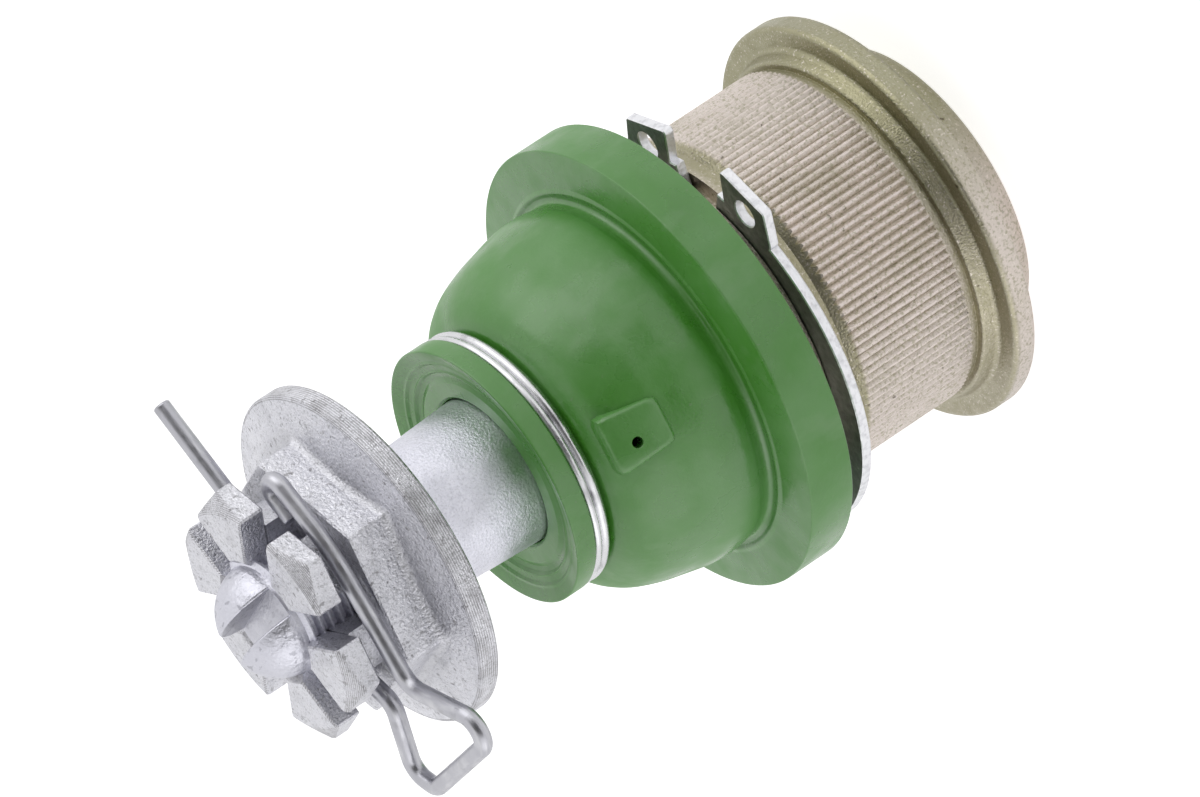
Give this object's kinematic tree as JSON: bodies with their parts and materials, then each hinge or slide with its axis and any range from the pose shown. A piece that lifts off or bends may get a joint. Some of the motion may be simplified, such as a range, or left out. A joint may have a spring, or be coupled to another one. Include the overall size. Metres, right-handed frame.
{
  "type": "suspension ball joint",
  "caption": "Press-in suspension ball joint: knurled housing with snap ring, rubber boot, and a tapered threaded stud that swings and turns, with a castle nut and wire clip.",
  "frame": {"origin": "centre of the housing's rear end, where the rolled lip's face lies", "axes": "+Z along the stud towards its thread; +X along the stud's cross-hole, towards the straight free end of the spring clip"},
  "size_m": [0.065, 0.065, 0.1165],
  "materials": {
    "housing_plating": "champagne zinc plating, satin, with fine speckle",
    "bright_zinc": "silver zinc plating, satin, forged and blasted surfaces",
    "spring_steel": "drawn or stamped spring steel, semi-bright",
    "seat_polymer": "machined low-friction polymer",
    "green_rubber": "moulded green rubber, semi-matte"
  },
  "bodies": {
    "housing": {"housing": "housing_plating", "end_cover": "housing_plating", "disc_spring": "spring_steel", "thrust_plate": "bright_zinc", "rear_ball_seat": "seat_polymer", "front_ball_seat": "seat_polymer", "boot_base_ring": "bright_zinc", "snap_ring": "spring_steel"},
    "boot": {"dust_boot": "green_rubber"},
    "boot_neck": {"boot_neck_ring": "spring_steel"},
    "stud": {"ball_stud": "bright_zinc", "castle_nut": "bright_zinc", "spring_clip": "spring_steel"}
  },
  "joints": [
    {"name": "swing_x", "type": "hinge", "parent": "housing", "child": "boot", "pos_m": [0, 0, 0.025], "axis": [1, 0, 0], "range_deg": [-13, 13], "deforming": ["dust_boot"]},
    {"name": "swing_y", "type": "hinge", "parent": "boot", "child": "boot_neck", "pos_m": [0, 0, 0.025], "axis": [0, 1, 0], "range_deg": [-13, 13], "deforming": ["dust_boot"]},
    {"name": "stud_spin", "type": "hinge", "parent": "boot_neck", "child": "stud", "pos_m": [0, 0, 0.025], "axis": [0, 0, 1], "continuous": true}
  ]
}
